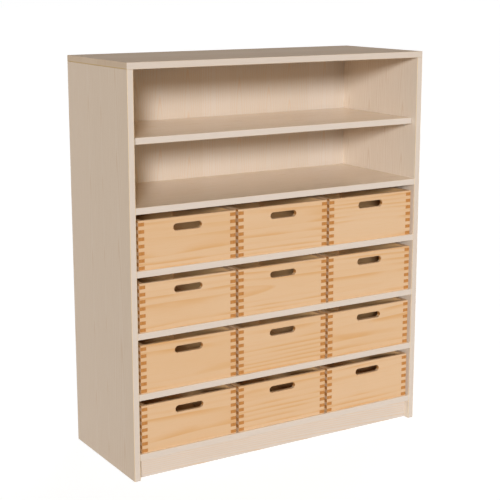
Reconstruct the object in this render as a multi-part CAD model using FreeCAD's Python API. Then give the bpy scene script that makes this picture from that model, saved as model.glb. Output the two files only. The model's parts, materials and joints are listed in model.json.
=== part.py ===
import FreeCAD, Part
import os

# Tray storage shelf unit: an open cabinet of veneered board with rows of loose wooden trays,
# and above them an open bay with one loose shelf lying on four pins.
# Millimetres. X runs to the right, Y to the back, Z up. The origin is on the floor, under
# the middle of the cabinet, and the open front faces -Y.

# Cabinet boards and outside width and depth
board = 19.0
cabinet_width = 1020.0
cabinet_depth = 400.0

# Clear heights, from the floor up
plinth_height = 61.0
shelf_pitch = 180.0
lower_bay_height = 173.0
upper_bay_height = 189.0

# Fixed shelves, from the floor up. A row of trays stands on each of them but the highest.
fixed_shelves = ["bottom_shelf", "tray_shelf_lower", "tray_shelf_middle",
                 "tray_shelf_upper", "bay_floor_shelf"]

# Plinth and back panel
plinth_setback = 22.0
back_thickness = 8.0
back_inset = 6.0

# Housings, grooves and tongues that hold the boards together
housing_depth = 8.0
housing_stop = 12.0
tongue_thickness = 8.0
tongue_end = 10.0
glue_room = 0.3
joint_fit = 0.1

# Loose shelf
loose_shelf_setback = 21.0
loose_shelf_gap = 1.0

# Shelf pins
stud_radius = 2.5
stud_length = 9.0
stud_fit = 0.05
pin_from_shelf_edge = 35.0
pin_plate = 1.6
pin_width = 9.0
pin_drop = 12.0
pin_reach = 11.0
pin_corner = 2.5

# Trays, outside
tray_columns = 3
tray_gap = 9.25
tray_headroom = 18.7
tray_setback = 6.0
tray_back_gap = 10.0

# Tray boards
tray_side_board = 18.5
tray_end_board = 14.0
rim_bevel = 4.0
front_bevel = 2.0

# Finger joints at the corners of a tray
first_finger = 1.7
finger_height = 10.3
finger_pitch = 20.75
finger_fit = 0.1

# Bottom panel of a tray and its groove
tray_bottom = 6.0
tray_groove_depth = 5.0
tray_groove_cover = 2.0

# Slot for the hand in the front of a tray
slot_length = 92.0
slot_height = 20.0
slot_below_rim = 29.6

# How near two places must be to count as the same
touch = 0.01

# Worked out from the sizes above
half_outer = cabinet_width / 2.0
half_inner = half_outer - board
front = -cabinet_depth / 2.0
rear = cabinet_depth / 2.0
back_face = rear - back_inset - back_thickness
tray_rows = len(fixed_shelves) - 1
shelf_tops = [plinth_height + board + level * shelf_pitch for level in range(tray_rows + 1)]
loose_shelf_underside = shelf_tops[-1] + lower_bay_height
top_underside = loose_shelf_underside + board + upper_bay_height
tongue_length = housing_depth - glue_room
panel_groove = back_thickness + joint_fit

tray_width = (2.0 * half_inner - (tray_columns + 1) * tray_gap) / tray_columns
tray_depth = back_face - front - tray_setback - tray_back_gap
tray_height = shelf_pitch - board - tray_headroom


def box(x0, x1, y0, y1, z0, z1):
    """A block between two corners."""
    return Part.makeBox(x1 - x0, y1 - y0, z1 - z0, FreeCAD.Vector(x0, y0, z0))


def moved(shape, x, y, z):
    """A copy of the shape, moved."""
    copy = shape.copy()
    copy.translate(FreeCAD.Vector(x, y, z))
    return copy


def mirrored_sideways(shape, x):
    """The shape's mirror image in the upright plane that crosses X at x."""
    return shape.mirror(FreeCAD.Vector(x, 0, 0), FreeCAD.Vector(1, 0, 0))


def edges_inside(shape, room):
    """The shape's edges that lie wholly in a room (x0, x1, y0, y1, z0, z1)."""
    found = []
    for edge in shape.Edges:
        b = edge.BoundBox
        in_x = room[0] - touch < b.XMin and b.XMax < room[1] + touch
        in_y = room[2] - touch < b.YMin and b.YMax < room[3] + touch
        in_z = room[4] - touch < b.ZMin and b.ZMax < room[5] + touch
        if in_x and in_y and in_z:
            found.append(edge)
    return found


def save(name, shape):
    """Write one named piece."""
    shape.exportStep("parts/" + name + ".step")


# Cabinet side: a board with a housing for each fixed shelf and for the plinth, a groove for
# the back panel, a tongue up into the top, and two blind holes for the shelf pins.

pin_places = [front + loose_shelf_setback + pin_from_shelf_edge, back_face - pin_from_shelf_edge]
stud_height = loose_shelf_underside - pin_drop / 2.0
tongue_middle = half_outer - board / 2.0


def right_side():
    bed = half_inner + housing_depth
    side = box(half_inner, half_outer, front, rear, 0, top_underside)
    for top in shelf_tops:
        side = side.cut(box(half_inner, bed, front + housing_stop, back_face,
                            top - board, top + joint_fit))
    plinth_front = front + plinth_setback
    side = side.cut(box(half_inner, bed, plinth_front, plinth_front + board + joint_fit,
                        0, plinth_height))
    side = side.cut(box(half_inner, bed, back_face, back_face + panel_groove, 0, top_underside))
    for y in pin_places:
        side = side.cut(Part.makeCylinder(stud_radius + stud_fit, stud_length + glue_room,
                                          FreeCAD.Vector(half_inner, y, stud_height),
                                          FreeCAD.Vector(1, 0, 0)))
    tongue = box(tongue_middle - tongue_thickness / 2.0, tongue_middle + tongue_thickness / 2.0,
                 front + housing_stop, back_face - tongue_end,
                 top_underside, top_underside + tongue_length)
    return side.fuse(tongue)


# Top panel: lies over the ends of both sides. Its underside has a stopped groove for the
# tongue of each side, and one for the back panel.

def top_panel():
    top = box(-half_outer, half_outer, front, rear, top_underside, top_underside + board)
    half_groove = (tongue_thickness + joint_fit) / 2.0
    groove_top = top_underside + housing_depth
    for middle in (-tongue_middle, tongue_middle):
        top = top.cut(box(middle - half_groove, middle + half_groove,
                          front + housing_stop - glue_room, back_face - tongue_end + glue_room,
                          top_underside, groove_top))
    reach = half_inner + housing_depth
    return top.cut(box(-reach, reach, back_face, back_face + panel_groove,
                       top_underside, groove_top))


# Fixed shelf: flush with the front of the sides. Its ends stand in the housings, behind a
# notch at each front corner, so that no joint shows from the front.

def fixed_shelf(top):
    reach = half_inner + tongue_length
    notch = front + housing_stop + glue_room
    shelf = box(-reach, reach, notch, back_face, top - board, top)
    nose = box(-half_inner, half_inner, front, notch, top - board, top)
    return shelf.fuse(nose).removeSplitter()


# Plinth: closes the gap under the bottom shelf, set back to leave room for toes.

def plinth():
    reach = half_inner + tongue_length
    plinth_front = front + plinth_setback
    return box(-reach, reach, plinth_front, plinth_front + board, 0, plinth_height)


# Back panel: stands in the grooves of the sides and the top, behind all the shelves.

def back_panel():
    reach = half_inner + tongue_length
    return box(-reach, reach, back_face, back_face + back_thickness,
               plinth_height, top_underside + tongue_length)


# Loose shelf: lies on the four pins, with a little room at its ends and behind it.

def loose_shelf():
    half = half_inner - loose_shelf_gap
    return box(-half, half, front + loose_shelf_setback, back_face - loose_shelf_gap,
               loose_shelf_underside, loose_shelf_underside + board)


# Shelf pin: a bent steel plate with a round stud that pushes into the side. The shelf lies
# on the level leg, and the upright leg bears on the side.

def right_shelf_pin(y):
    y0 = y - pin_width / 2.0
    y1 = y + pin_width / 2.0
    foot = loose_shelf_underside - pin_drop
    tip = half_inner - pin_reach
    wall_face = half_inner - pin_plate
    upright = box(wall_face, half_inner, y0, y1, foot, loose_shelf_underside)
    upright = upright.makeChamfer(pin_corner, [
        edge for edge in edges_inside(upright, (wall_face, half_inner, y0, y1, foot, foot))
        if edge.BoundBox.XLength > touch])
    level = box(tip, half_inner, y0, y1, loose_shelf_underside - pin_plate, loose_shelf_underside)
    level = level.makeChamfer(pin_corner, [
        edge for edge in edges_inside(level, (tip, tip, y0, y1, foot, loose_shelf_underside))
        if edge.BoundBox.ZLength > touch])
    stud = Part.makeCylinder(stud_radius, pin_plate + stud_length,
                             FreeCAD.Vector(wall_face, y, stud_height), FreeCAD.Vector(1, 0, 0))
    return upright.fuse([level, stud]).removeSplitter()


def shelf_pins():
    right = [right_shelf_pin(y) for y in pin_places]
    left = [mirrored_sideways(pin, 0) for pin in right]
    return Part.Compound(left + right)


# Tray: four boards joined at the corners by fingers that show from both sides, with a bevelled
# rim, a slot for the hand in the front and a bottom panel in a groove all round.
# It is drawn with its front left foot at the origin.

finger_count = int((tray_height - first_finger - finger_height) / finger_pitch) + 1
finger_floors = [first_finger + i * finger_pitch for i in range(finger_count)]
groove_floor = first_finger + finger_height + tray_groove_cover
inner_x = (tray_side_board, tray_width - tray_side_board)
inner_y = (tray_end_board, tray_depth - tray_end_board)


def tray_walls():
    """The four boards as one ring, with a bevelled rim, before they are parted."""
    ring = box(0, tray_width, 0, tray_depth, 0, tray_height)
    ring = ring.cut(box(*inner_x, *inner_y, 0, tray_height))
    inner_rim = edges_inside(ring, (*inner_x, *inner_y, tray_height, tray_height))
    ring = ring.makeChamfer(rim_bevel, inner_rim)
    front_rim = edges_inside(ring, (0, tray_width, 0, 0, tray_height, tray_height))
    return ring.makeChamfer(front_bevel, front_rim)


def fingers(x, y, fit):
    """The room of the fingers at one corner, with the fit shared above and below each."""
    rooms = [box(x, x + tray_side_board, y, y + tray_end_board,
                 floor - fit / 2.0, floor + finger_height + fit / 2.0) for floor in finger_floors]
    return Part.Compound(rooms)


def bottom_room(depth, fit):
    """The room of the bottom panel, let into the boards by a depth."""
    return box(inner_x[0] - depth, inner_x[1] + depth, inner_y[0] - depth, inner_y[1] + depth,
               groove_floor, groove_floor + tray_bottom + fit)


def tray_side(walls):
    """The left side board. Its fingers reach the tray's front and back faces."""
    room = box(0, inner_x[0], *inner_y, 0, tray_height)
    room = room.fuse([fingers(0, 0, 0), fingers(0, inner_y[1], 0)]).removeSplitter()
    return walls.common(room).cut(bottom_room(tray_groove_depth, joint_fit)).removeSplitter()


def tray_end(walls):
    """The front board without its slot. Its fingers fill the gaps of the side boards."""
    end = walls.common(box(0, tray_width, 0, inner_y[0], 0, tray_height))
    end = end.cut(fingers(0, 0, finger_fit)).cut(fingers(inner_x[1], 0, finger_fit))
    return end.cut(bottom_room(tray_groove_depth, joint_fit)).removeSplitter()


def hand_slot():
    """A long hole with round ends, midway along the front board."""
    middle = tray_width / 2.0
    height = tray_height - slot_below_rim
    radius = slot_height / 2.0
    reach = slot_length / 2.0 - radius
    slot = box(middle - reach, middle + reach, 0, tray_end_board, height - radius, height + radius)
    ends = [Part.makeCylinder(radius, tray_end_board, FreeCAD.Vector(x, 0, height),
                              FreeCAD.Vector(0, 1, 0)) for x in (middle - reach, middle + reach)]
    return slot.fuse(ends).removeSplitter()


def tray_pieces():
    """The pieces of one tray, by name."""
    walls = tray_walls()
    left = tray_side(walls)
    end = tray_end(walls)
    return {
        "front": end.cut(hand_slot()),
        "sides": Part.Compound([left, mirrored_sideways(left, tray_width / 2.0)]),
        "back": end.mirror(FreeCAD.Vector(0, tray_depth / 2.0, 0), FreeCAD.Vector(0, 1, 0)),
        "bottom": bottom_room(tray_groove_depth - glue_room, 0),
    }


# Write every piece. The trays are numbered from the left of the top row, row by row down.

os.makedirs("parts", exist_ok=True)

right = right_side()
save("right_side", right)
save("left_side", mirrored_sideways(right, 0))
save("top_panel", top_panel())
save("plinth", plinth())
save("back_panel", back_panel())
for name, top in zip(fixed_shelves, shelf_tops):
    save(name, fixed_shelf(top))
save("loose_shelf", loose_shelf())
save("shelf_pins", shelf_pins())

tray = tray_pieces()
number = 0
for floor in reversed(shelf_tops[:-1]):
    for column in range(tray_columns):
        number += 1
        x = -half_inner + tray_gap + column * (tray_width + tray_gap)
        for name, piece in tray.items():
            save("tray_%02d_%s" % (number, name), moved(piece, x, front + tray_setback, floor))
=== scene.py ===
import json
import math
import bmesh
import bpy
import numpy as np
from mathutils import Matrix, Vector

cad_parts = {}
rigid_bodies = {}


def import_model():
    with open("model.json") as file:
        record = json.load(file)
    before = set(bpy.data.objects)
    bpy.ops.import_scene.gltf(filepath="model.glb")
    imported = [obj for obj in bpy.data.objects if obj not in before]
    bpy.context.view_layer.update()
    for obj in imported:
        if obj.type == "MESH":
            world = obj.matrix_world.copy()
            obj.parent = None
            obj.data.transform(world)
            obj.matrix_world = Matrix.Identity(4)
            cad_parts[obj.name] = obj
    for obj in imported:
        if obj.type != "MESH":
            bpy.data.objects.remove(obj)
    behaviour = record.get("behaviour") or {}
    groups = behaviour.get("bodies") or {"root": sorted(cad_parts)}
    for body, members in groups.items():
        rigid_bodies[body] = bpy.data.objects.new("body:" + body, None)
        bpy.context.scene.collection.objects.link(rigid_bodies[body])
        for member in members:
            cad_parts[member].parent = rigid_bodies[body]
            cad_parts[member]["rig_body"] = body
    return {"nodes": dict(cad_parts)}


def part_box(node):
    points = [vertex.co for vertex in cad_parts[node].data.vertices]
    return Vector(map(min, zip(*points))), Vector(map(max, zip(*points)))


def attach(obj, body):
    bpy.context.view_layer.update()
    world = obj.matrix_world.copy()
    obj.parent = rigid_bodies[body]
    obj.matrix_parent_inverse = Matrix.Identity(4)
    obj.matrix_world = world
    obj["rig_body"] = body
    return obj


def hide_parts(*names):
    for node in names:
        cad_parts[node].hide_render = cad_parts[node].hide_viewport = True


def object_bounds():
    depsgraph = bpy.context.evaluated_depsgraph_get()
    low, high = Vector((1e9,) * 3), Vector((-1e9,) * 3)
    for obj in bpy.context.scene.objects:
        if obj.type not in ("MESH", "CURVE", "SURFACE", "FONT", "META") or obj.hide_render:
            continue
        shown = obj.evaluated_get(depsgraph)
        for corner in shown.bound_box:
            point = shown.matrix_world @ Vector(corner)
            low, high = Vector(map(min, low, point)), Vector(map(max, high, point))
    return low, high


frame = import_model()
cad_box = [list(corner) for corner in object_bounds()]


# The two sides are upright boards, faced with pale birch veneer whose grain runs up them. A
# lighter band is glued to the front edge. Housings on the inner faces take the ends of the
# shelves and the plinth, so no screw shows.

X, Y, Z = range(3)
board = 0.019
half_width = cad_box[1][X]
side_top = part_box("top_panel")[0].z
eased_edge = 0.0008

leaf_width = 0.102
leaf_start = 2.0
leaf_shift = 0.017
heart_off = 0.25
heart_depth_squared = 0.012
rings_in_leaf = 15.0
rings_per_metre = (3.0, 8.0)
side_waver = 0.55
ring_waver = 2.4
seam_width = 0.0018
foot_width = 0.0030
seam_blur = 0.0006
relief_depth = 0.0002
hair = 0.00001
facing = 0.6

veneer_pale = (0.735, 0.590, 0.455)
veneer_deep = (0.680, 0.530, 0.395)
veneer_arch = (0.660, 0.480, 0.320)
veneer_line = (0.600, 0.440, 0.300)
# Painted light: the right side's tones are a paler copy of the side veneer. They stand in for the
# light that falls on its inner face in the bay.
painted_light_right_pale = (0.880, 0.780, 0.670)
painted_light_right_deep = (0.830, 0.720, 0.600)
band_pale = (0.655, 0.592, 0.545)
band_line = (0.592, 0.498, 0.425)
glue_line = (0.740, 0.580, 0.350)


def put(tree, kind, feeds=None, **options):
    """One node: its options are set, then each input takes a number or another node's output."""
    node = tree.nodes.new("ShaderNode" + kind)
    for option, value in options.items():
        setattr(node, option, value)
    for socket, feed in (feeds or {}).items():
        if isinstance(feed, bpy.types.NodeSocket):
            tree.links.new(feed, node.inputs[socket])
        else:
            node.inputs[socket].default_value = feed
    return node


def calc(tree, operation, first, second=0.0, third=0.0):
    """One step of arithmetic on two or three numbers."""
    return put(tree, "Math", {0: first, 1: second, 2: third}, operation=operation).outputs[0]


def ramp(tree, value, low, high, start=0.0, end=1.0):
    """Goes smoothly from start to end while the value goes from low to high."""
    feeds = {0: value, 1: low, 2: high, 3: start, 4: end}
    return put(tree, "MapRange", feeds, interpolation_type="SMOOTHSTEP").outputs[0]


def rgb(colour):
    """A colour as a node takes it: a plain colour gets its fourth number."""
    return colour if isinstance(colour, bpy.types.NodeSocket) else (*colour, 1.0)


def tint(tree, share, under, over):
    """The colour over laid on the colour under, by a share from 0 to 1."""
    layer = put(tree, "Mix", {0: share, 6: rgb(under), 7: rgb(over)}, data_type="RGBA")
    return layer.outputs[2]


def noise(tree, place, scale, detail=2.0, roughness=0.5):
    """Soft random value from 0 to 1 at a place in space."""
    feeds = {"Vector": place, "Scale": scale, "Detail": detail, "Roughness": roughness}
    return put(tree, "TexNoise", feeds).outputs["Fac"]


def stretched(tree, place, scales, shift):
    """The place scaled along each axis, then shifted. Unequal scales turn a pattern into grain."""
    feeds = {"Vector": place, "Location": shift, "Scale": scales}
    return put(tree, "Mapping", feeds).outputs[0]


def grain_scales(grain, along, across):
    """The scales along X, Y and Z of a pattern that is drawn out along the grain."""
    return [along if axis == grain else across for axis in (X, Y, Z)]


def new_finish(name):
    """An empty material with its shader. Gives both, and the coordinates of the surface."""
    finish = bpy.data.materials.new(name)
    finish.use_nodes = True
    tree = finish.node_tree
    tree.nodes.clear()
    shader = put(tree, "BsdfPrincipled")
    put(tree, "OutputMaterial", {"Surface": shader.outputs[0]})
    return finish, tree, shader, put(tree, "TexCoord").outputs


def lay_on(tree, shader, colour, height, pattern, smooth, rough, bump, depth=relief_depth):
    """Joins to the shader a colour, a fine relief drawn by height, and a roughness that goes
    from smooth to rough while the pattern goes from 0.2 to 0.8."""
    relief = put(tree, "Bump", {"Strength": bump, "Distance": depth, "Height": height})
    tree.links.new(colour, shader.inputs["Base Color"])
    tree.links.new(relief.outputs[0], shader.inputs["Normal"])
    tree.links.new(ramp(tree, pattern, 0.2, 0.8, smooth, rough), shader.inputs["Roughness"])


def arched_figure(tree, run, side, slow, seed):
    """The dark lines of a veneer's figure, and its tone. side is cut into leaves, and each leaf
    draws three random numbers. The distance from the heart, a line under the leaf, is the root
    of the square of the way sideways, which wavers, plus the square of the heart's depth, in
    widths of a leaf. The ring number is that distance times the rings in a leaf, plus 3 to 8
    for every metre along the grain, plus a slow waver. A line lies where it passes a half."""
    from_edge = calc(tree, "ADD", side, leaf_start + leaf_shift * seed)
    leaf = calc(tree, "DIVIDE", from_edge, leaf_width)
    leaf_number = calc(tree, "FLOOR", leaf)
    chance = put(tree, "TexWhiteNoise", {"W": calc(tree, "ADD", leaf_number, seed * 17.0)},
                 noise_dimensions="1D")
    drawn = put(tree, "SeparateColor", {0: chance.outputs["Color"]}).outputs

    from_middle = calc(tree, "SUBTRACT", calc(tree, "SUBTRACT", leaf, leaf_number), 0.5)
    heart = calc(tree, "MULTIPLY_ADD", drawn[0], 2 * heart_off, -heart_off)
    from_heart = calc(tree, "SUBTRACT", calc(tree, "ADD", from_middle, heart), 0.27)
    sideways = calc(tree, "MULTIPLY_ADD", slow, side_waver, from_heart)
    square = calc(tree, "MULTIPLY_ADD", sideways, sideways, heart_depth_squared)
    fewest, most = rings_per_metre
    per_metre = calc(tree, "MULTIPLY_ADD", drawn[1], most - fewest, fewest)
    start = calc(tree, "ADD", calc(tree, "MULTIPLY", run, per_metre), drawn[2])
    ring = calc(tree, "MULTIPLY_ADD", calc(tree, "SQRT", square), rings_in_leaf, start)
    ring = calc(tree, "MULTIPLY_ADD", slow, ring_waver, ring)

    line = ramp(tree, calc(tree, "PINGPONG", ring, 0.5), 0.33, 0.5)
    tone = calc(tree, "MULTIPLY_ADD", drawn[1], 0.5, calc(tree, "MULTIPLY", slow, 0.35))
    return line, tone


def veneer(name, along, across, seed, pale, deep, figure=0.75, upper=None, band=None, seam=0.0,
           foot_line=None, smooth=0.3, shine=0.45):
    """Lacquered veneer between two tones, with arched lines as strong as figure and fine
    fibres. The upper tones are painted on the upper face alone: painted light on the shelves'
    tops, painted shade on the cabinet's top. band is the axis across the board's
    thickness and the middle of the board on it: where it is given, faces that look to the front
    are the lighter band, between two glue lines as strong as seam. foot_line is the colour of
    a glue line at the foot of the board's two ends."""
    finish, tree, shader, where = new_finish(name)
    axes = put(tree, "SeparateXYZ", {0: where["Object"]}).outputs
    looks = put(tree, "SeparateXYZ", {0: where["Normal"]}).outputs
    shift = (seed * 1.37, seed * 0.71, seed * 2.13)
    slow_place = stretched(tree, where["Object"], grain_scales(along, 1.1, 26.0), shift)
    slow = noise(tree, slow_place, 0.35)
    fibre_place = stretched(tree, where["Object"], grain_scales(along, 14.0, 900.0), shift)
    fibre = noise(tree, fibre_place, 1.0, detail=3.0, roughness=0.7)
    line, tone = arched_figure(tree, axes[along], axes[across], slow, seed)

    face = tint(tree, tone, pale, deep)
    # Painted on the upper face: the upper tones are painted light on the shelves and painted shade
    # on the cabinet's top.
    if upper:
        looks_up = calc(tree, "GREATER_THAN", looks[Z], facing)
        face = tint(tree, looks_up, face, tint(tree, tone, *upper))
    face = tint(tree, calc(tree, "MULTIPLY", line, figure), face, veneer_arch)
    face = tint(tree, ramp(tree, fibre, 0.45, 0.75, end=0.32), face, veneer_line)
    if foot_line:
        below = calc(tree, "SUBTRACT", band[1], axes[band[0]])
        foot_start = board / 2 - foot_width
        foot = ramp(tree, below, foot_start, foot_start + 2 * seam_blur, end=0.85)
        at_end = calc(tree, "GREATER_THAN", calc(tree, "ABSOLUTE", looks[X]), facing)
        face = tint(tree, calc(tree, "MULTIPLY", foot, at_end), face, foot_line)
    if band:
        off_middle = calc(tree, "SUBTRACT", calc(tree, "ABSOLUTE", axes[band[0]]), band[1])
        seam_start = board / 2 - seam_width
        rim = ramp(tree, calc(tree, "ABSOLUTE", off_middle), seam_start, seam_start + seam_blur)
        strip = tint(tree, ramp(tree, fibre, 0.42, 0.75, end=0.5), band_pale, band_line)
        strip = tint(tree, calc(tree, "MULTIPLY", rim, seam), strip, glue_line)
        face = tint(tree, calc(tree, "LESS_THAN", looks[Y], -facing), face, strip)

    height = calc(tree, "MULTIPLY_ADD", line, 0.3, fibre)
    lay_on(tree, shader, face, height, fibre, smooth, smooth + 0.1, bump=0.12)
    shader.inputs["Specular IOR Level"].default_value = shine
    return finish


def eased(node, finish, radii, steps=2, curved=False):
    """A merged copy of a CAD board that stands for it, with some of its edges rounded.
    radii takes the two ends of every edge and gives the radius of each, or 0. A curved board
    is shaded smoothly over its roundings, with the large faces deciding, so they stay flat."""
    source = frame["nodes"][node]
    work = bmesh.new()
    work.from_mesh(source.data)
    bmesh.ops.remove_doubles(work, verts=work.verts, dist=0.000001)
    bmesh.ops.dissolve_limit(work, angle_limit=0.01, verts=work.verts, edges=work.edges)
    mesh = bpy.data.meshes.new(node + "_eased")
    work.to_mesh(mesh)
    work.free()

    spots = np.empty(len(mesh.vertices) * 3)
    mesh.vertices.foreach_get("co", spots)
    spots = spots.reshape(-1, 3)
    ends = np.empty(len(mesh.edges) * 2, int)
    mesh.edges.foreach_get("vertices", ends)
    wanted = radii(spots[ends[0::2]], spots[ends[1::2]])
    share = mesh.attributes.new("bevel_weight_edge", "FLOAT", "EDGE")
    share.data.foreach_set("value", (wanted / wanted.max()).astype(np.float32))

    mesh.materials.append(finish)
    piece = bpy.data.objects.new(node + "_eased", mesh)
    bpy.context.scene.collection.objects.link(piece)
    rounding = piece.modifiers.new("rounding", "BEVEL")
    rounding.limit_method = "WEIGHT"
    rounding.width = wanted.max()
    rounding.segments = steps
    mesh.shade_flat()
    if curved:
        mesh.shade_smooth()
        mesh.set_sharp_from_angle(angle=0.5)
        shading = piece.modifiers.new("shading", "WEIGHTED_NORMAL")
        shading.keep_sharp = True
    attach(piece, source["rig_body"])
    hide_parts(node)


def both_on(first, second, axis, place):
    """True for each edge whose two ends lie on the plane that crosses the axis at the place."""
    return (abs(first[:, axis] - place) < hair) & (abs(second[:, axis] - place) < hair)


def where_planes_meet(planes, radius):
    """A rule for eased(): an edge is rounded when both its ends lie on two of the planes at
    once. A plane is an axis and the place where it crosses that axis."""
    def radii(first, second):
        on = [both_on(first, second, axis, place) for axis, place in planes]
        return radius * (np.sum(on, axis=0) >= 2)
    return radii


# The right side takes the painted-light tones, paler than the left side's veneer.
side_looks = {"left_side": (1.0, veneer_pale, veneer_deep, 0.75),
              "right_side": (2.0, painted_light_right_pale, painted_light_right_deep, 0.35)}
for node, (seed, pale, deep, figure) in side_looks.items():
    low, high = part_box(node)
    planes = [(X, low.x), (X, high.x), (Y, low.y), (Y, high.y), (Z, 0.0), (Z, side_top)]
    finish = veneer("veneer_" + node, Z, Y, seed, pale, deep, figure,
                    band=(X, half_width - board / 2), seam=0.8)
    eased(node, finish, where_planes_meet(planes, eased_edge))


# The five fixed shelves are boards of the same make, with the grain across the cabinet and a
# smoother lacquer. Each end stands in a housing, and the front edges are flush with the sides.
# Their upper faces are painted paler than the veneer, as painted light for the light in the bays.

# Painted light: paler tones for the shelves' upper faces, standing in for the light in the bays.
painted_light_level_pale = (0.870, 0.735, 0.590)
painted_light_level_deep = (0.820, 0.680, 0.525)


def level_board(node, seed, upper, smooth=0.14, shine=0.8, free_ends=False, foot_line=None):
    """A board that lies flat. Its two front edges are eased, and with free ends all the edges
    round it."""
    low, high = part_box(node)
    planes = [(Y, low.y), (Z, low.z), (Z, high.z)]
    if free_ends:
        planes += [(X, low.x), (X, high.x), (Y, high.y)]
    finish = veneer("veneer_" + node, X, Y, seed, veneer_pale, veneer_deep, 0.4, upper,
                    (Z, high.z - board / 2), 0.2, foot_line, smooth, shine)
    eased(node, finish, where_planes_meet(planes, eased_edge))


fixed_shelves = ["bottom_shelf", "tray_shelf_lower", "tray_shelf_middle", "tray_shelf_upper",
                 "bay_floor_shelf"]
for count, node in enumerate(fixed_shelves):
    level_board(node, 3.0 + count, (painted_light_level_pale, painted_light_level_deep))


# The plinth is a narrow board on edge, let into the sides under the bottom shelf and set back
# from the front. It is all of the lighter veneer of the front bands.

def dress(node, finish):
    """Gives a CAD node its finish."""
    piece = frame["nodes"][node]
    piece.data.materials.clear()
    piece.data.materials.append(finish)


dress("plinth", veneer("veneer_plinth", X, Z, 11.0, band_pale, band_pale))


# The back is a thin veneered panel with upright grain. It stands in grooves of the sides and
# of the top, a little in from the rear edge, and stiffens the cabinet.

back_pale = (0.675, 0.608, 0.545)
back_deep = (0.632, 0.550, 0.465)

dress("back_panel", veneer("veneer_back_panel", Z, X, 12.0, back_pale, back_deep, 0.5,
                           smooth=0.4, shine=0.15))


# The top lies over the ends of both sides, whose tongues stand in its underside. Its upper
# face is duller, and painted darker as painted shade, and a thread of glue shows under its ends.

# Painted shade: darker tones for the top's upper face, standing in for the little light that falls
# on it.
painted_shade_top_pale = (0.525, 0.437, 0.368)
painted_shade_top_deep = (0.493, 0.394, 0.317)
joint_line = (0.640, 0.450, 0.200)

level_board("top_panel", 9.0, (painted_shade_top_pale, painted_shade_top_deep), smooth=0.6, shine=0.05, free_ends=True,
            foot_line=joint_line)


# Four pins of bent steel plate with a round stud, plated with zinc, stand in blind holes of
# the sides and carry the loose shelf.

steel_pale = (0.90, 0.90, 0.89)
steel_deep = (0.78, 0.79, 0.80)


def plated_steel():
    """Zinc on steel: a pale metal, clouded by fine noise in its colour and its roughness."""
    finish, tree, shader, where = new_finish("plated_steel")
    cloud = noise(tree, where["Object"], 900.0, detail=3.0, roughness=0.6)
    colour = tint(tree, cloud, steel_deep, steel_pale)
    lay_on(tree, shader, colour, cloud, cloud, 0.38, 0.52, bump=0.1, depth=relief_depth / 2)
    shader.inputs["Metallic"].default_value = 1.0
    return finish


dress("shelf_pins", plated_steel())


# The loose shelf is a board like the fixed ones, a little narrower and set back from the
# front. It only lies on its four pins.

# Its upper face takes the same painted light as the fixed shelves.
level_board("loose_shelf", 8.0, (painted_light_level_pale, painted_light_level_deep), free_ends=True)


# Each of the twelve trays has four boards of solid pale wood, joined at the corners by
# fingers, so the end grain of the sides shows on the front as a row of darker blocks. The
# bottom is thin plywood in a groove, and the front has a slot for the hand.

tray_count = 12
slot_length = 0.092
slot_height = 0.020
slot_drop = 0.0196
slot_radius = 0.003
rim_bevel = 0.004
rim_radius = 0.001
near = 0.0002
ring_width = 0.0125
pith_waver = 0.045
wood_shine = 0.15
well_inside = -0.01

wood_pale = (0.708, 0.522, 0.360)
wood_warm = (0.668, 0.442, 0.252)
wood_late = (0.620, 0.330, 0.115)
# Painted light: a deeper, brighter orange for the trays' inner faces, standing in for the warm
# light that bounces inside them.
painted_bounce_inside = (0.820, 0.490, 0.210)
end_pale = (0.500, 0.230, 0.070)
end_dark = (0.400, 0.160, 0.038)
plywood_pale = (0.800, 0.530, 0.280)
plywood_warm = (0.740, 0.460, 0.220)
plywood_fibre = (0.520, 0.310, 0.150)


def late_wood(tree, here, grain, pith, slow):
    """The dark edges of the year rings. The pith is a line along the grain beside the board.
    The distance from it is the root of two squares, plus a slow waver, and the ring number is
    that distance over the ring width. Each ring darkens slowly and ends at once."""
    axes = put(tree, "SeparateXYZ", {0: here}).outputs
    others = [axis for axis in (X, Y, Z) if axis != grain]
    legs = [calc(tree, "SUBTRACT", axes[axis], offset) for axis, offset in zip(others, pith)]
    square = calc(tree, "MULTIPLY_ADD", legs[0], legs[0],
                  calc(tree, "MULTIPLY", legs[1], legs[1]))
    distance = calc(tree, "MULTIPLY_ADD", slow, pith_waver, calc(tree, "SQRT", square))
    ring = calc(tree, "FRACT", calc(tree, "DIVIDE", distance, ring_width))
    return calc(tree, "MULTIPLY", ramp(tree, ring, 0.35, 0.93),
                ramp(tree, ring, 0.93, 1.0, start=1.0, end=0.0))


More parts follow.
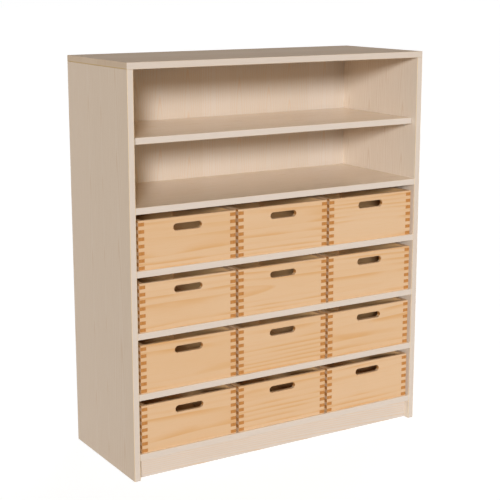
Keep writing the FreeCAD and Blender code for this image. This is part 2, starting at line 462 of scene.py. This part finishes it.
def tray_wood(name, grain, centre, tray_centre, pith, seed):
    """Solid wood with rings round its pith, stronger in some stretches than in others. Faces
    across the grain are end grain, darker and full of pores. A face is inside the tray where
    the way from the tray's centre, times the normal, is well below zero: there a deeper, brighter
    orange is painted, as painted light for the warm light that bounces inside the tray."""
    finish, tree, shader, where = new_finish(name)
    shift = (seed * 0.91, seed * 1.77, seed * 0.53)
    here = stretched(tree, where["Object"], (1.0, 1.0, 1.0), -centre)
    slow = noise(tree, stretched(tree, here, grain_scales(grain, 1.6, 14.0), shift), 0.55)
    fibre_place = stretched(tree, here, grain_scales(grain, 16.0, 700.0), shift)
    fibre = noise(tree, fibre_place, 1.0, detail=3.0, roughness=0.65)
    stretch_place = stretched(tree, here, grain_scales(grain, 3.0, 22.0), shift)
    stretch = noise(tree, stretch_place, 1.3, detail=1.0)
    pores = noise(tree, where["Object"], 1900.0)
    late = late_wood(tree, here, grain, pith, slow)

    strength = ramp(tree, stretch, 0.42, 0.62, 0.10, 0.62)
    face = tint(tree, slow, wood_pale, wood_warm)
    face = tint(tree, calc(tree, "MULTIPLY", late, strength), face, wood_late)
    face = tint(tree, ramp(tree, fibre, 0.45, 0.8, end=0.2), face, wood_late)
    outwards = put(tree, "VectorMath", {0: where["Object"], 1: tray_centre},
                   operation="SUBTRACT").outputs[0]
    outwards = put(tree, "VectorMath", {0: outwards, 1: where["Normal"]},
                   operation="DOT_PRODUCT").outputs["Value"]
    # The inner faces take the painted bounce light.
    inside = calc(tree, "LESS_THAN", outwards, well_inside)
    face = tint(tree, calc(tree, "MULTIPLY", inside, 0.7), face, painted_bounce_inside)

    end = tint(tree, calc(tree, "MULTIPLY", late, 0.4), end_pale, end_dark)
    end = tint(tree, ramp(tree, pores, 0.5, 0.75, end=0.5), end, end_dark)
    looks = put(tree, "SeparateXYZ", {0: where["Normal"]}).outputs
    at_end = ramp(tree, calc(tree, "ABSOLUTE", looks[grain]), 0.8, 0.97)
    lay_on(tree, shader, tint(tree, at_end, face, end), fibre, fibre, 0.45, 0.58, bump=0.15)
    shader.inputs["Specular IOR Level"].default_value = wood_shine
    return finish


def tray_plywood(name, seed):
    """Thin birch plywood: fine fibres along X and a slow change of tone."""
    finish, tree, shader, where = new_finish(name)
    shift = (seed, seed * 0.7, seed * 1.9)
    fibre_place = stretched(tree, where["Object"], grain_scales(X, 12.0, 500.0), shift)
    fibre = noise(tree, fibre_place, 1.0, detail=3.0, roughness=0.6)
    slow = noise(tree, stretched(tree, where["Object"], grain_scales(X, 2.0, 18.0), shift), 0.6)
    face = tint(tree, slow, plywood_pale, plywood_warm)
    face = tint(tree, ramp(tree, fibre, 0.45, 0.8, end=0.3), face, plywood_fibre)
    lay_on(tree, shader, face, fibre, fibre, 0.5, 0.62, bump=0.15)
    shader.inputs["Specular IOR Level"].default_value = wood_shine
    return finish


def rim_and_slot(grain, low, high):
    """A rule for eased(): rounds the level edges along the grain within the bevel of the rim.
    On an end board it rounds both outlines of the hand slot too, which are the edges on the
    front and rear faces whose ends lie in the slot's box."""
    slot_top = high.z - slot_drop + near
    slot_bottom = high.z - slot_drop - slot_height - near
    slot_half = slot_length / 2 + near
    middle = (low.x + high.x) / 2

    def radii(first, second):
        span = abs(first - second)
        straight = (span[:, Z] < hair) & (span[:, 1 - grain] < hair)
        made = rim_radius * (straight & (first[:, Z] > high.z - rim_bevel - near))
        if grain == X:
            in_slot = both_on(first, second, Y, low.y) | both_on(first, second, Y, high.y)
            for end in (first, second):
                in_slot &= (end[:, Z] > slot_bottom) & (end[:, Z] < slot_top)
                in_slot &= abs(end[:, X] - middle) < slot_half
            made = made + slot_radius * in_slot
        return made
    return radii


# The pith of an end board lies 30 to 70 mm to its front or rear. The two sides of a tray share
# one node, so theirs lies to one side of both.
luck = np.random.default_rng(5)
for number in range(1, tray_count + 1):
    tray = "tray_%02d_" % number
    low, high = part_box(tray + "sides")
    tray_centre = (low + high) / 2
    for part, grain in (("front", X), ("back", X), ("sides", Y)):
        low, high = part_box(tray + part)
        centre = (low + high) / 2
        pith = (luck.uniform(0.03, 0.07) * luck.choice([-1, 1]), luck.uniform(-0.05, 0.05))
        if part == "sides":
            pith = (luck.uniform(0.2, 0.25), luck.uniform(-0.05, 0.05))
        finish = tray_wood(tray + part + "_wood", grain, centre, tray_centre, pith,
                           luck.uniform(0, 40))
        eased(tray + part, finish, rim_and_slot(grain, low, high), steps=3,
              curved=True)
    dress(tray + "bottom", tray_plywood(tray + "plywood", luck.uniform(0, 40)))


# The studio floor is a plain pale sheet that runs out of sight. It keeps the cabinet's shadow,
# and where it is looked at it goes over into the white behind it.

reach = 60.0
floor_grey = (0.60, 0.60, 0.60)
floor_seen = (0.40, 0.42, 0.46)
white = (1.0, 1.0, 1.0)


def seen_apart(tree, output, lighting, seen):
    """One shader for the light that falls on the object, and another for what the camera, a
    reflection or clear glass sees."""
    path = put(tree, "LightPath").outputs
    looked_at = calc(tree, "MAXIMUM", path["Is Camera Ray"], path["Is Glossy Ray"])
    looked_at = calc(tree, "MAXIMUM", looked_at, path["Is Transmission Ray"])
    feeds = {0: looked_at, 1: lighting.outputs[0], 2: seen.outputs[0]}
    mixed = put(tree, "MixShader", feeds)
    put(tree, output, {"Surface": mixed.outputs[0]})


floor_mesh = bpy.data.meshes.new("floor")
floor_mesh.from_pydata([(-reach, -reach, 0), (reach, -reach, 0), (reach, reach, 0),
                        (-reach, reach, 0)], [], [(0, 1, 2, 3)])
floor = bpy.data.objects.new("floor", floor_mesh)
bpy.context.scene.collection.objects.link(floor)
floor_finish = bpy.data.materials.new("floor")
floor_finish.use_nodes = True
tree = floor_finish.node_tree
tree.nodes.clear()
plain_floor = put(tree, "BsdfDiffuse", {"Color": rgb(floor_grey)})
shaded = put(tree, "BsdfDiffuse", {"Color": rgb(floor_seen)})
glow = put(tree, "Emission", {"Color": rgb(white), "Strength": 0.8})
seen_floor = put(tree, "AddShader", {0: shaded.outputs[0], 1: glow.outputs[0]})
seen_apart(tree, "OutputMaterial", plain_floor, seen_floor)
floor_mesh.materials.append(floor_finish)


# The light is a soft lamp at the front left, a weak one behind at the right, a weak warm one
# at the front right that warms the shadows, and a faint warm sky.

lamp_amber = (1.0, 0.68, 0.32)
warm_sky = (1.0, 0.93, 0.80)


def far_lamp(name, way, strength, width, colour=white, in_reflections=False):
    """A lamp far away. way points to it, and width is its breadth in degrees."""
    lamp = bpy.data.lights.new(name, "SUN")
    lamp.energy = strength
    lamp.color = colour
    lamp.angle = math.radians(width)
    holder = bpy.data.objects.new(name, lamp)
    holder.rotation_mode = "QUATERNION"
    holder.rotation_quaternion = Vector(way).to_track_quat("Z", "Y")
    holder.visible_glossy = in_reflections
    bpy.context.scene.collection.objects.link(holder)


far_lamp("soft_lamp", (-0.61, -1.0, 0.29), 2.42, 9.5, in_reflections=True)
far_lamp("back_lamp", (0.75, 0.65, 0.10), 2.3, 40.0)
far_lamp("warm_lamp", (0.5, -1.0, 0.12), 0.95, 60.0, lamp_amber)

world = bpy.data.worlds.new("studio")
bpy.context.scene.world = world
world.use_nodes = True
tree = world.node_tree
tree.nodes.clear()
sky = put(tree, "Background", {"Color": rgb(warm_sky), "Strength": 0.22})
backdrop = put(tree, "Background", {"Color": rgb(white), "Strength": 1.0})
seen_apart(tree, "OutputWorld", sky, backdrop)


# The camera stands at the front left, a little above the top, and looks slightly down, so
# that the cabinet fills the picture from its foot to its top.

eye = (-1.951, -3.172, 1.417)
turn = math.radians(31.62)
dip = math.radians(11.38)
camera = bpy.data.cameras.new("camera")
camera.sensor_width = 36.0
camera.lens = 87.61
camera.shift_y = -0.05
camera.clip_end = 200.0
camera_object = bpy.data.objects.new("camera", camera)
bpy.context.scene.collection.objects.link(camera_object)
camera_object.location = eye
camera_object.rotation_euler = (math.pi / 2 - dip, 0.0, -turn)
bpy.context.scene.camera = camera_object
bpy.context.scene.view_settings.view_transform = "Standard"
